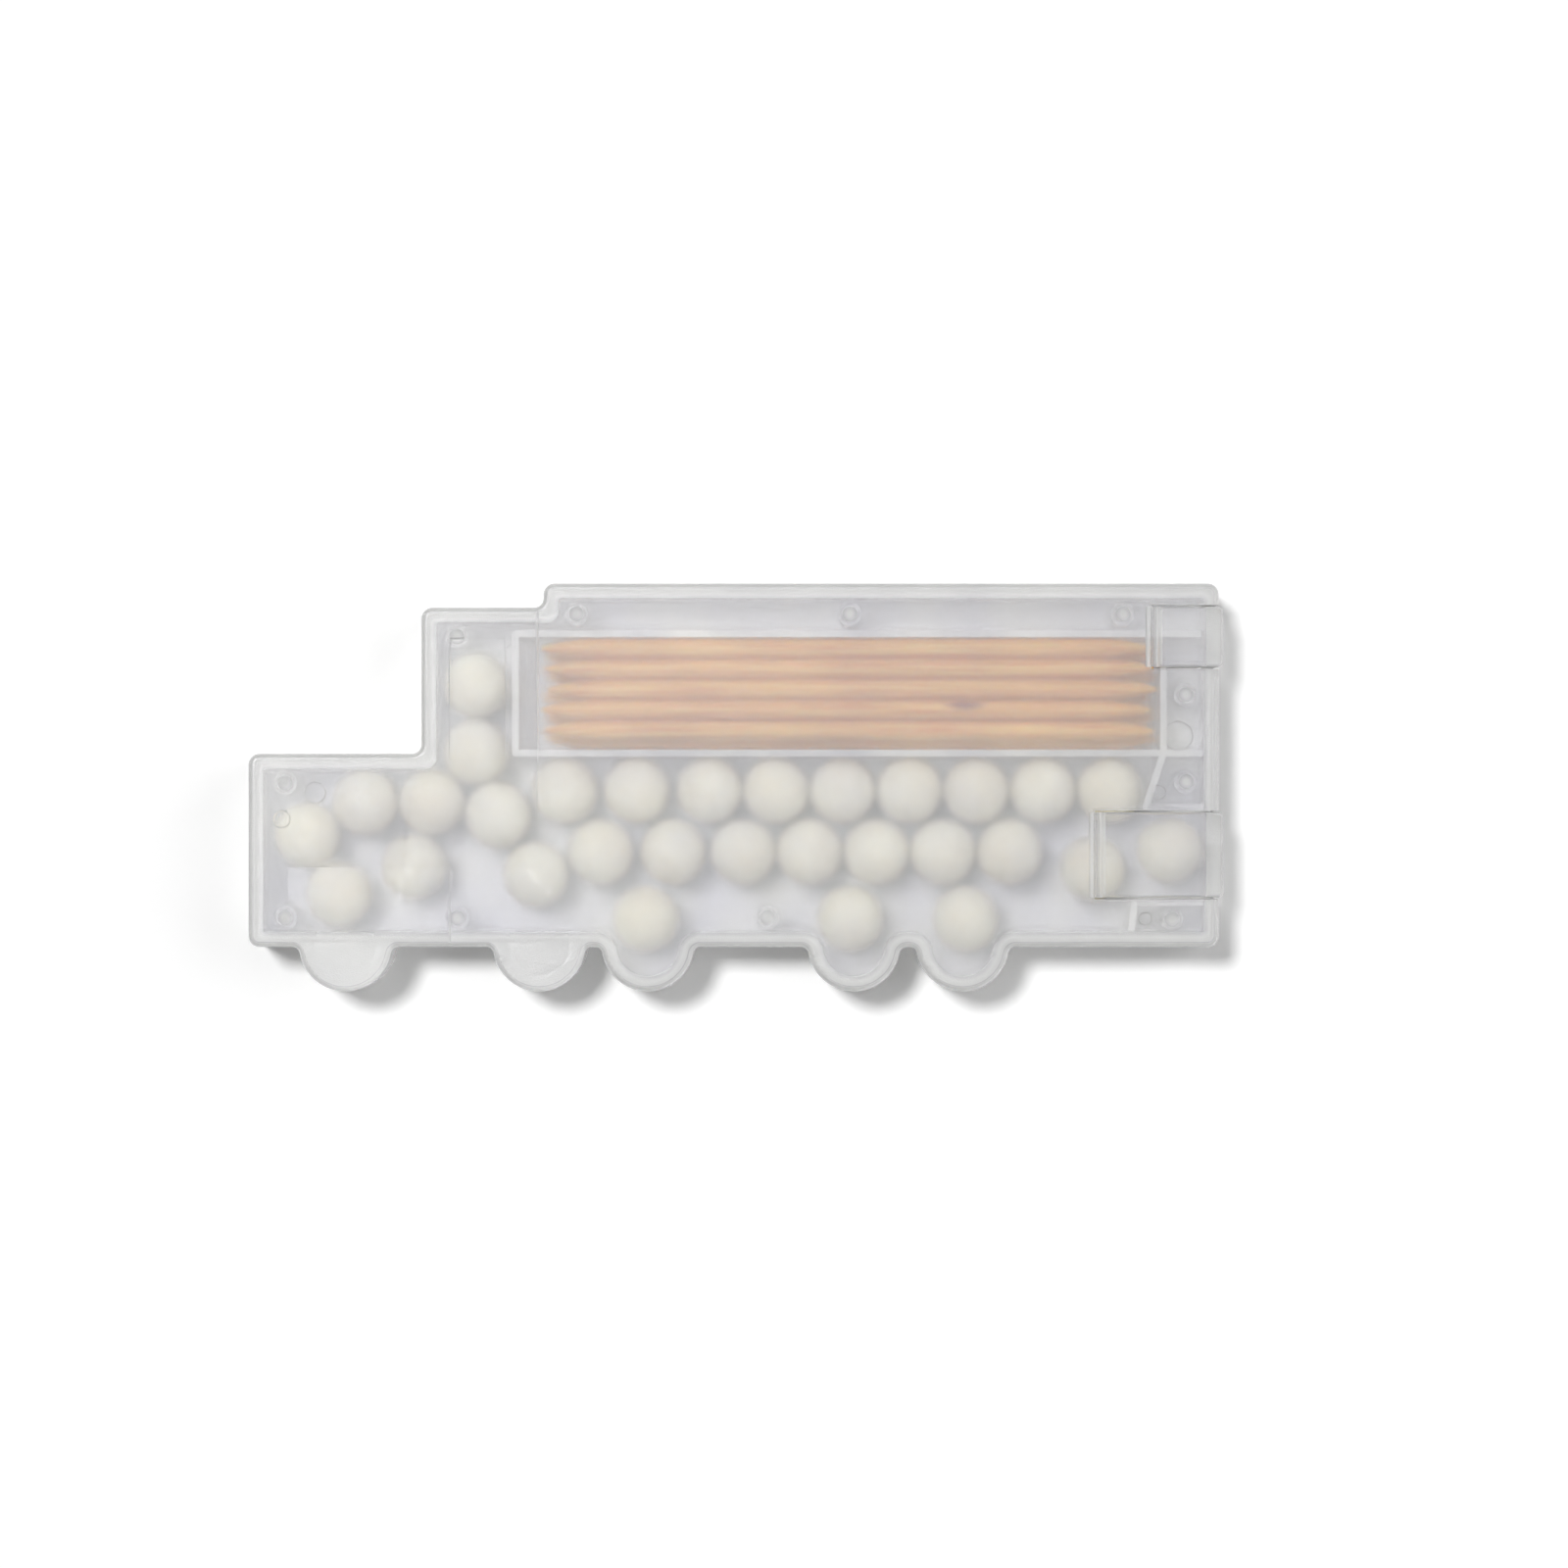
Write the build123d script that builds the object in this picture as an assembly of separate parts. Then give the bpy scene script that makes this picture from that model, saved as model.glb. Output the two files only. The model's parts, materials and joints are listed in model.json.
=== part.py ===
from build123d import *
from collections import namedtuple
from math import atan2, cos, degrees, hypot, radians, sin
import os

# Pocket dispenser for mints and toothpicks, in millimetres.
# The case has the outline of an articulated truck and lies on its back: +X runs from the nose to the tail,
# +Y from the wheels to the roof and +Z from the back skin to the front. The origin is under the middle of it.

# Goods that the case is sized for
mint_diameter = 7.0
mint_gap = 0.15            # least room between a mint and its neighbour or a wall
mint_floor_gap = 0.05
toothpick_diameter = 2.1
toothpick_length = 65.0
toothpick_taper = 8.0      # length of each pointed end
toothpick_tip_radius = 0.25
toothpick_swell = 0.12     # how far the taper bulges
toothpick_gap = 0.1
toothpicks_per_layer = 5
toothpick_layers = 3
toothpick_stagger = 0.3    # how far the ends lie out of line, in a repeating pattern
stagger_steps = 3

# Mouldings
wall = 1.5
back_skin = 1.2
front_skin = 1.2
rib = 0.7
rib_headroom = 0.1         # ribs and sockets stop this short of the front skin
edge_radius = 0.6          # rounding of the front and back edges
corner_radius = 1.2        # rounding of the outline's corners
inner_corner_radius = 0.4
notch_radius = 1.0         # rounding where the roof line steps
fit_gap = 0.08             # clearance of tongue and pegs
seam_gap = 0.05
overcut = 1.0              # how far a cutting block reaches past what it cuts
pick_reach = 0.05          # how close a corner lies to the place it is picked by
cover_depth = 3.5          # front face to seam
tongue_height = 0.8
tongue_thickness = 0.7

# Pegs of the cover and their sockets
peg_radius = 0.7
peg_length = 3.0
peg_bottom_room = 0.4
socket_radius = 1.25
nose_peg_inset = 3.9
cab_peg_inset = 3.8
edge_peg_inset = 3.1
roof_peg_front = 3.5
roof_peg_back = 10.2
tail_peg_drop = 2.95
low_tail_peg_inset = 5.0
middle_peg_shift = 1.8

# Room left round the goods
depth_play = 0.6
cab_play = 1.14
nose_play = 0.9
bonnet_play = 0.53
bay_end_play = 3.3
bay_slack = 1.0            # height left free beside a full layer of toothpicks
toothpick_end_gap = 0.3
roof_space = 3.5           # between the roof and the toothpick bay
tail_cell = 4.0            # between the toothpick bay and the tail wall

# Outline
trailer_setback = 2.66     # trailer front behind the front of the toothpick bay
cab_step = 2.58            # cab roof below trailer roof
front_axle_inset = 10.3    # from the nose
drive_axle_inset = 12.52   # from the front of the cab
trailer_wheelbase = 21.95  # second drive wheel to first trailer wheel
wheel_radius = 4.93
wheel_drop = 4.72          # how far the wheels reach below the chassis
tandem_gap = 1.7           # between the two wheels of a pair
tandem_land = 0.05         # flat left between the two blends of a pair

# Outlets and flip lids
toothpick_outlet_play = 0.4
mint_outlet_rise = 8.3     # hopper floor to the middle of the mint outlet
mint_lid_play = 2.06       # mint lid wider than a mint
toothpick_lid_reach = 7.05  # hinge line to tail
mint_lid_reach = 13.1
funnel_run = 1.9           # slant of the upper funnel rib
mouth_offset = 1.15        # lower lip of the outlet ahead of the upper one
lower_funnel_run = 0.65
lid_gap = 0.2              # all round a lid
lid_lip = 0.45             # thumb catch beyond the tail
lid_plate = 1.0
lid_shoulder = 0.9         # full-thickness strip beside the hinge
lid_corner_radius = 0.6
lid_rim_radius = 0.3
plug_gap = 0.15            # plug behind the inner face of the tail wall
snap_radius = 0.25
web_length = 0.3           # living hinge, across the fold
web_thickness = 0.3
bead_radius = 0.3
bead_rise = 0.12
bead_land = 0.05           # from the web to the foot of a bead

# How the loose mints lie: angles in degrees from +X, spacings in mint pitches
upward_angle = 90.0
forward_angle = 180.0
close_packing_angle = 60.0
cab_climb_angle = 48.6     # last bonnet mint up to the lowest cab mint
elbow_angle = -71.0        # lowest cab mint to the one at the hopper's corner
nose_fall_angle = 30.0     # along the bonnet roof, then down to the nose
nose_drop_angle = 62.0     # nose mint to the one on the floor
bonnet_return_angle = 20.0
bonnet_return_ratio = 1.2
corner_drop_angle = -57.5
corner_drop_ratio = 1.06
mints_per_row = 9          # in the upper row, under the toothpick bay
row_sag = 0.4              # lower row below close packing
loose_gaps = 2             # gaps at the front of the upper row that share its spare length
pocket_rise = 1.4          # wheel-pocket mint over the hopper floor
pocket_shifts = (-0.3, -0.4, 0.4)
mouth_mint_back = 5.5
mouth_mint_drop = 1.5
outlet_mint_rise = 0.45

# Sizes that follow from the goods
mint_radius = mint_diameter / 2
mint_pitch = mint_diameter + mint_gap
toothpick_radius = toothpick_diameter / 2
toothpick_pitch = toothpick_diameter + toothpick_gap
toothpick_stack = toothpick_layers * toothpick_pitch
inner_depth = max(mint_diameter, toothpick_stack) + depth_play
case_depth = back_skin + inner_depth + front_skin
cab_channel = mint_diameter + cab_play
bay_length = toothpick_length + bay_end_play
bay_height = toothpicks_per_layer * toothpick_pitch + bay_slack
row_drop = mint_pitch * sin(radians(close_packing_angle)) + row_sag
hopper_height = mint_gap + mint_radius + row_drop + mint_pitch + pocket_rise
body_height = wall + roof_space + rib + bay_height + rib + hopper_height + wall
bonnet_fall = mint_pitch * (sin(radians(nose_fall_angle)) + sin(radians(nose_drop_angle)))
bonnet_height = 2 * wall + mint_gap + mint_diameter + bonnet_fall + bonnet_play
bonnet_run = mint_pitch * (cos(radians(cab_climb_angle)) + 1 + cos(radians(nose_fall_angle)))
bonnet_length = bonnet_run + mint_radius + nose_play - cab_channel / 2

# The trailer is as long as the toothpick bay or the upper row of mints needs, from the front of the cab
mint_lid_width = mint_diameter + mint_lid_play
outlet_half = mint_lid_width / 2 + lid_gap
funnel_drop = hopper_height - mint_outlet_rise - outlet_half - rib / 2
funnel_slant = hypot(funnel_run, funnel_drop) / funnel_drop
row_clearance = (mint_radius + mint_gap + rib / 2) * funnel_slant
row_back_inset = row_clearance + funnel_run * (mint_gap + mint_radius) / funnel_drop - rib / 2
row_front_inset = wall + cab_channel / 2 + mint_pitch * (1 + cos(radians(elbow_angle)))
row_need = row_front_inset + (mints_per_row - 1) * mint_pitch + row_back_inset
bay_need = wall + cab_channel + rib + bay_length
cab_to_bay_back = max(bay_need, row_need)
case_length = bonnet_length + cab_to_bay_back + rib + tail_cell + wall

# Places along the case
tail_x = (case_length - lid_lip) / 2
nose_x = tail_x - case_length
tail_inner_x = tail_x - wall
cab_x = nose_x + bonnet_length
bay_back_x = cab_x + cab_to_bay_back
bay_front_x = bay_back_x - bay_length
trailer_x = bay_front_x + trailer_setback
wheel_pair = 2 * wheel_radius + tandem_gap
wheel_blend = tandem_gap / 2 - tandem_land
front_axle_x = nose_x + front_axle_inset
drive_axle_x = cab_x + drive_axle_inset
second_drive_x = drive_axle_x + wheel_pair
trailer_axle_x = second_drive_x + trailer_wheelbase
solid_axles = [front_axle_x, drive_axle_x]
hollow_axles = [second_drive_x, trailer_axle_x, trailer_axle_x + wheel_pair]

# Places across the case
roof_y = (body_height + wheel_drop) / 2
chassis_y = roof_y - body_height
axle_y = chassis_y - wheel_drop + wheel_radius
cab_y = roof_y - cab_step
bonnet_y = chassis_y + bonnet_height
bay_top_y = roof_y - wall - roof_space - rib
bay_bottom_y = bay_top_y - bay_height
hopper_top_y = bay_bottom_y - rib
hopper_floor_y = chassis_y + wall
toothpick_outlet = toothpick_diameter + toothpick_outlet_play
guide_y = bay_top_y - toothpick_outlet
outlet_y = hopper_floor_y + mint_outlet_rise

# Heights
seam_z = case_depth - cover_depth
front_inner_z = case_depth - front_skin
rib_top_z = front_inner_z - rib_headroom

# The two flip lids
Lid = namedtuple("Lid", "middle_y width hinge_x")
toothpick_lid = Lid(bay_top_y, 2 * (toothpick_outlet + rib), tail_x - toothpick_lid_reach)
mint_lid = Lid(outlet_y, mint_lid_width, tail_x - mint_lid_reach)
lids = {"toothpick_lid": toothpick_lid, "mint_lid": mint_lid}
lid_tip_x = tail_x + lid_lip
plug_inner_x = tail_inner_x + plug_gap
bead_offset = web_length / 2 + bead_land + bead_radius
bead_z = case_depth + bead_rise - bead_radius

# Ribs of the mint outlet
outlet_roof_y = outlet_y + outlet_half + rib / 2
outlet_floor_y = outlet_y - outlet_half - rib / 2
funnel_top = (bay_back_x + rib / 2, hopper_top_y)
funnel_foot = (funnel_top[0] - funnel_run, outlet_roof_y)
mouth = (funnel_foot[0] - mouth_offset, outlet_floor_y)


def slab(outline, low, high):
    """Solid over a flat outline, between two heights."""
    return extrude(Pos(0, 0, low) * outline, amount=high - low)


def block(x_range, y_range, z_range):
    """Box between two limits on each axis."""
    spans = [x_range, y_range, z_range]
    middle = [(low + high) / 2 for low, high in spans]
    return Pos(*middle) * Box(*[high - low for low, high in spans])


def step_from(place, direction, pitches=1.0):
    """Mint centre at a number of mint pitches from another one."""
    reach = mint_pitch * pitches
    return (place[0] + reach * cos(radians(direction)), place[1] + reach * sin(radians(direction)))


def truck_outline(inset, axles, convex_radius):
    """The truck's outline, drawn in by an inset, with a round lobe for each wheel."""
    left, right, low = nose_x + inset, tail_x - inset, chassis_y + inset
    bonnet_corner = (cab_x + inset, bonnet_y - inset)
    trailer_corner = (trailer_x + inset, cab_y - inset)
    corners = [
        (left, low),
        (right, low),
        (right, roof_y - inset),
        (trailer_x + inset, roof_y - inset),
        (cab_x + inset, cab_y - inset),
        (left, bonnet_y - inset),
    ]
    points = corners[:4] + [trailer_corner] + corners[4:5] + [bonnet_corner] + corners[5:]
    body = Polygon(*points, align=None)

    def near(places):
        return [v for v in body.vertices() if any(hypot(v.X - x, v.Y - y) < pick_reach for x, y in places)]

    body = fillet(near(corners), convex_radius)
    body = fillet(near([bonnet_corner, trailer_corner]), notch_radius)
    lobe = wheel_radius - inset
    half_chord = (lobe**2 - (low - axle_y) ** 2) ** 0.5
    body += [Pos(x, axle_y) * Rot(0, 0, 90) * Circle(lobe) for x in axles]
    shoulders = [(x + side * half_chord, low) for x in axles for side in (-1, 1)]
    return fillet(near(shoulders), wheel_blend + inset)


outside = truck_outline(0, solid_axles + hollow_axles, corner_radius)
cavity = truck_outline(wall, hollow_axles, inner_corner_radius)
tongue_line = truck_outline(wall - tongue_thickness, hollow_axles, inner_corner_radius)
rebate_line = truck_outline(wall - tongue_thickness - fit_gap, hollow_axles, inner_corner_radius)
skirt_room = truck_outline(wall + fit_gap, hollow_axles, inner_corner_radius)


def peg_places():
    """Where the cover's pegs enter the tray's sockets."""
    nose_peg_x = nose_x + nose_peg_inset
    low_y = chassis_y + edge_peg_inset
    roof_front_x = trailer_x + roof_peg_front
    roof_back_x = tail_x - roof_peg_back
    roof_peg_y = roof_y - wall - roof_space / 2
    tail_peg_x = tail_inner_x - tail_cell / 2
    middle_x = (hollow_axles[0] + hollow_axles[1]) / 2 + middle_peg_shift
    return [
        (nose_peg_x, bonnet_y - edge_peg_inset),
        (nose_peg_x, low_y),
        (cab_x + cab_peg_inset, cab_y - edge_peg_inset),
        (cab_x + cab_peg_inset, low_y),
        (roof_front_x, roof_peg_y),
        ((roof_front_x + roof_back_x) / 2, roof_peg_y),
        (roof_back_x, roof_peg_y),
        (middle_x, low_y),
        (tail_peg_x, guide_y - rib - tail_peg_drop),
        (tail_peg_x, (hopper_top_y + outlet_roof_y) / 2),
        (tail_x - low_tail_peg_inset, (hopper_floor_y + outlet_floor_y - rib / 2) / 2),
    ]


def bar(start, end):
    """Flat outline of a rib between two points on its middle line."""
    run, rise = end[0] - start[0], end[1] - start[1]
    middle = (start[0] + run / 2, start[1] + rise / 2)
    turn = degrees(atan2(rise, run))
    return Pos(*middle) * Rot(0, 0, turn) * SlotCenterToCenter(hypot(run, rise), rib)


def rib_outline():
    """All ribs of the tray, on their middle lines, with ends that run into its wall."""
    half = rib / 2
    bay_top, bay_low = bay_top_y + half, bay_bottom_y - half
    bay_front, bay_back = bay_front_x - half, bay_back_x + half
    guide = guide_y - half
    ends = [
        [(bay_front, bay_top), (tail_inner_x - half, bay_top)],
        [(bay_front, bay_low), (tail_x, bay_low)],
        [(bay_front, bay_low), (bay_front, bay_top)],
        [(bay_back, bay_low), (bay_back, guide)],
        [(bay_back, guide), (tail_inner_x - half, guide)],
        [(funnel_top[0], bay_low), funnel_foot],
        [funnel_foot, (tail_x, outlet_roof_y)],
        [mouth, (tail_x, outlet_floor_y)],
        [mouth, (mouth[0] - lower_funnel_run, chassis_y)],
    ]
    return Sketch() + [bar(start, end) for start, end in ends]


def lid_sides(lid, room=0.0):
    """Limits of a lid across the case, with some room on both sides."""
    half = lid.width / 2 + room
    return (lid.middle_y - half, lid.middle_y + half)


def lid_notch(lid, low):
    """Gap in the tail wall that a lid's plug closes, down to a given height."""
    return block((tail_inner_x, tail_x + overcut), lid_sides(lid, lid_gap), (low, case_depth + overcut))


def lid_window(lid):
    """Cut-out of the front skin that a lid's plate closes."""
    edges = (lid.hinge_x - web_length / 2, tail_x + overcut)
    return block(edges, lid_sides(lid, lid_gap), (front_inner_z, case_depth + overcut))


def bead(lid, side):
    """Round bead along one shoulder of a living hinge, to be merged with that shoulder."""
    place = Pos(lid.hinge_x + side * bead_offset, lid.middle_y, bead_z)
    return place * Rot(90, 0, 0) * Cylinder(bead_radius, lid.width)


def build_rear_shell():
    """Deep tray: back skin, side wall with a tongue, ribs, peg sockets and the two tail notches."""
    shell = slab(outside, 0, seam_z)
    shell = fillet(shell.faces().sort_by(Axis.Z)[0].edges(), edge_radius)
    shell += slab(tongue_line, back_skin, seam_z + tongue_height)
    shell -= slab(cavity, back_skin, case_depth)
    ribs = rib_outline()
    sockets = Sketch() + [Pos(*place) * Circle(socket_radius) for place in peg_places()]
    shell += slab(ribs & tongue_line, back_skin, seam_z)
    shell += slab((ribs + sockets) & skirt_room, back_skin, rib_top_z)
    bores = Sketch() + [Pos(*place) * Circle(peg_radius + fit_gap) for place in peg_places()]
    shell -= slab(bores, front_inner_z - peg_length - peg_bottom_room, case_depth)
    for lid in lids.values():
        shell -= lid_notch(lid, back_skin)
    return shell


def build_front_cover():
    """Shallow cover: front skin, skirt rebated over the tongue, pegs, lid cut-outs and hinge beads."""
    cover = slab(outside, seam_z + seam_gap, case_depth)
    cover = fillet(cover.faces().sort_by(Axis.Z)[-1].edges(), edge_radius)
    cover -= slab(rebate_line, seam_z, seam_z + tongue_height + fit_gap)
    cover -= slab(cavity, seam_z, front_inner_z)
    pegs = Sketch() + [Pos(*place) * Circle(peg_radius) for place in peg_places()]
    cover += slab(pegs, front_inner_z - peg_length, front_inner_z)
    for lid in lids.values():
        cover -= lid_window(lid) + lid_notch(lid, seam_z)
        cover += bead(lid, -1)
    return cover


def build_lid(lid):
    """Flip lid: plate with a hinge shoulder, plug with a thumb catch, and a snap ridge on either side."""
    sides = lid_sides(lid)
    edge_x = lid.hinge_x + web_length / 2
    body = block((edge_x, lid_tip_x), sides, (case_depth - lid_plate, case_depth))
    body += block((edge_x, edge_x + lid_shoulder), sides, (front_inner_z, case_depth))
    body += block((plug_inner_x, lid_tip_x), sides, (back_skin + lid_gap, case_depth))
    body = fillet(body.edges().filter_by(Axis.Z).group_by(Axis.X)[-1], lid_corner_radius)
    flats = body.faces().filter_by(Axis.Z).sort_by(Axis.Z)
    rims = flats[0].edges() + flats[-1].edges()
    body = fillet([edge for edge in rims if edge.center().X > tail_x], lid_rim_radius)
    ridge_z = (back_skin + seam_z) / 2
    ridge_sink = snap_radius - lid_gap / 2
    for y, outward in zip(sides, (-1, 1)):
        start = Plane((plug_inner_x, y - outward * ridge_sink, ridge_z), z_dir=(1, 0, 0))
        body += extrude(start * Circle(snap_radius), amount=wall - plug_gap - edge_radius)
    return body + bead(lid, 1)


def build_web(lid):
    """Thin strip that joins the front cover to a lid and bends when the lid opens."""
    fold = web_length / 2
    edges = (lid.hinge_x - fold, lid.hinge_x + fold)
    return block(edges, lid_sides(lid), (case_depth - web_thickness, case_depth))


def mint_places():
    """Centres of the mints as they lie, in the plane of the case."""
    bonnet_roof_y = bonnet_y - wall - mint_gap - mint_radius
    cab_ceiling_y = cab_y - edge_peg_inset - socket_radius - mint_gap - mint_radius
    cab_climb = mint_pitch * sin(radians(cab_climb_angle))
    cab_low = (cab_x + wall + cab_channel / 2, bonnet_roof_y + cab_climb)
    cab_count = 1 + int((cab_ceiling_y - cab_low[1]) // mint_pitch)
    cab = [step_from(cab_low, upward_angle, number) for number in range(cab_count)]
    elbow = step_from(cab_low, elbow_angle)
    bonnet_back = step_from(cab_low, forward_angle + cab_climb_angle)
    bonnet_front = step_from(bonnet_back, forward_angle)
    nose = step_from(bonnet_front, forward_angle + nose_fall_angle)
    nose_floor = step_from(nose, -nose_drop_angle)
    bonnet_floor = step_from(nose_floor, bonnet_return_angle, bonnet_return_ratio)
    corner = step_from(elbow, corner_drop_angle, corner_drop_ratio)
    tractor = cab + [elbow, bonnet_back, bonnet_front, nose, nose_floor, bonnet_floor, corner]

    # Upper row: close packed from the funnel forwards, with its spare length in the last gaps
    upper_y = hopper_top_y - mint_gap - mint_radius
    gaps = mints_per_row - 1
    spare = (cab_to_bay_back - row_need) / loose_gaps
    row = [bay_back_x - row_back_inset]
    for gap in range(gaps):
        loose = spare if gap >= gaps - loose_gaps else 0
        row.append(row[-1] - mint_pitch - loose)
    upper = [(x, upper_y) for x in row]

    # Lower row: in the dips of the upper one, apart from the dip at the funnel
    lower_y = upper_y - row_drop
    lower = [((a + b) / 2, lower_y) for a, b in zip(row[1:], row[2:])]
    pocket_y = lower_y - mint_pitch
    pockets = [(x + shift, pocket_y) for x, shift in zip(hollow_axles, pocket_shifts)]
    at_mouth = (funnel_foot[0] - mouth_mint_back, outlet_y - mouth_mint_drop)
    in_outlet = (plug_inner_x - mint_gap - mint_radius, outlet_y + outlet_mint_rise)
    return tractor + upper + lower + pockets + [at_mouth, in_outlet]


def build_toothpick():
    """Round toothpick with two pointed ends, along X about its middle."""
    end = toothpick_length / 2
    shank = end - toothpick_taper
    front = SagittaArc((-end, toothpick_tip_radius), (-shank, toothpick_radius), toothpick_swell)
    back = SagittaArc((shank, toothpick_radius), (end, toothpick_tip_radius), toothpick_swell)
    side = Line((-shank, toothpick_radius), (shank, toothpick_radius))
    core = Polyline((end, toothpick_tip_radius), (end, 0), (-end, 0), (-end, toothpick_tip_radius))
    return revolve(make_face(front + side + back + core), Axis.X)


def toothpick_places():
    """Middles of the toothpicks: layers on top of each other, every second one pushed to the low side."""
    places = []
    for layer in range(toothpick_layers):
        z = back_skin + toothpick_gap + toothpick_radius + layer * toothpick_pitch
        push = layer % 2 * (bay_slack - toothpick_gap)
        for column in range(toothpicks_per_layer):
            y = bay_top_y - toothpick_gap - toothpick_radius - column * toothpick_pitch - push
            back = toothpick_end_gap + toothpick_stagger * ((2 * column + layer) % stagger_steps)
            places.append((bay_back_x - back - toothpick_length / 2, y, z))
    return places


nodes = {"rear_shell": build_rear_shell(), "front_cover": build_front_cover()}
for name, lid in lids.items():
    nodes[name] = build_lid(lid)
    nodes[name + "_hinge"] = build_web(lid)
mint_z = back_skin + mint_floor_gap + mint_radius
for number, (x, y) in enumerate(mint_places(), start=1):
    nodes[f"mint_{number:02d}"] = Pos(x, y, mint_z) * Sphere(mint_radius)
for number, place in enumerate(toothpick_places(), start=1):
    nodes[f"toothpick_{number:02d}"] = Pos(*place) * build_toothpick()

os.makedirs("parts", exist_ok=True)
for name, node in nodes.items():
    export_step(node, f"parts/{name}.step")
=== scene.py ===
"""Looks of a pocket dispenser for mints and toothpicks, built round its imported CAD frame.

The case lies on its back and is seen from straight above. Lengths are metres, in the frame of the CAD part:
+X runs from the nose to the tail, +Y from the wheels to the roof and +Z from the back skin to the front.
"""

import json
import math

import bmesh
import bpy
from bpy.props import FloatProperty, FloatVectorProperty, PointerProperty
from mathutils import Matrix, Vector, noise

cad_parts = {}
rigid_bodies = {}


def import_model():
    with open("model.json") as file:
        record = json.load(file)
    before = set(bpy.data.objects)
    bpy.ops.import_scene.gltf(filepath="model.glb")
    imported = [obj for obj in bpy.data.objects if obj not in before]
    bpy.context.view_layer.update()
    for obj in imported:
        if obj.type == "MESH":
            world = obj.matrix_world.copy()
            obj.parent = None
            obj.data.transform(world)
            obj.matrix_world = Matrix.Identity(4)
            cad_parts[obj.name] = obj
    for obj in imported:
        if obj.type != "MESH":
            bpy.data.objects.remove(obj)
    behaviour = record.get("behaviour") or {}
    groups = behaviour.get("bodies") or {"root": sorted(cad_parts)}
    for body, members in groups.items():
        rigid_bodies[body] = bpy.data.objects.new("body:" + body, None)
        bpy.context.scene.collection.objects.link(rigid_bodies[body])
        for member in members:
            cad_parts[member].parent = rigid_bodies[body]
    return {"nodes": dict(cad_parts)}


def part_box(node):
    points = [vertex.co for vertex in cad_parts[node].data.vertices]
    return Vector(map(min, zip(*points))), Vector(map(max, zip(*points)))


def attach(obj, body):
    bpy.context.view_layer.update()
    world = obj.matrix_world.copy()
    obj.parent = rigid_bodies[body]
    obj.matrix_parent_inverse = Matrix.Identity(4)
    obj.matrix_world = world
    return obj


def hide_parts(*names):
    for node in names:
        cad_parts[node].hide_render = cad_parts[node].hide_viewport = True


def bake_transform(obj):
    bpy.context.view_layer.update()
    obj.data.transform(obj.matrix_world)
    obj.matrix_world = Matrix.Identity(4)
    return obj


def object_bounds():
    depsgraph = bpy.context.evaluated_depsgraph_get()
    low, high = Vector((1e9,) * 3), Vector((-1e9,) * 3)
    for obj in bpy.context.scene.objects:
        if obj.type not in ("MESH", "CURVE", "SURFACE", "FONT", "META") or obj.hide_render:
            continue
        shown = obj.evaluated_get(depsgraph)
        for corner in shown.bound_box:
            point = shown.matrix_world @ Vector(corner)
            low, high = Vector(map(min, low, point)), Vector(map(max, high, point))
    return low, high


# The objects of Blender's own first scene go before the frame comes in
for leftover in list(bpy.data.objects):
    bpy.data.objects.remove(leftover)
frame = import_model()
cad_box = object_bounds()

bl_info = {
    "name": "Mint and toothpick dispenser",
    "version": (1, 0, 0),
    "blender": (4, 5, 0),
    "location": "3D View > Sidebar > Dispenser",
    "description": "Dresses the packed dispenser: frosted case, flip lids, mints, toothpicks and stage",
    "category": "Object",
}

MM = 0.001
MINTS = sorted(name for name in frame["nodes"] if name.startswith("mint_") and name[-2:].isdigit())
TOOTHPICKS = sorted(name for name in frame["nodes"] if name.startswith("toothpick_") and name[-2:].isdigit())
LIDS = ("toothpick_lid", "mint_lid")
LID_BOXES = [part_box(lid) for lid in LIDS]

# One toothpick of the top layer has a knot
KNOTTED = "toothpick_14"
KNOT_PLACE = (24.4 * MM, 8.9 * MM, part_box(KNOTTED)[1].z)

# The front skin: its outer face is level with the hinge webs
FRONT_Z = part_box("mint_lid_hinge")[1].z
SKIN = 1.2 * MM
INNER_Z = FRONT_Z - SKIN
MIDDLE_Z = FRONT_Z / 2
DIP_DEPTH = 0.004 * MM

# Upward share of a normal from which a face counts as level
LEVEL = 0.5

# Depth of plastic under a level face from which it looks solid and milky
SOLID_COVER = 2.5 * MM
SOLID_LID = 1.1 * MM

# The tail wall, a lid's plug behind it, and the shoulder of a lid at its hinge
TAIL_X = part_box("front_cover")[1].x
PLUG_X = TAIL_X - 1.35 * MM
SHOULDER = 0.9 * MM

# Sockets, which hold the cover's pegs, and how close a wall that fits snugly is to a socket or a lid
SOCKET_RADIUS = 1.25 * MM
SNUG_ROOM = 0.35 * MM

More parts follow.
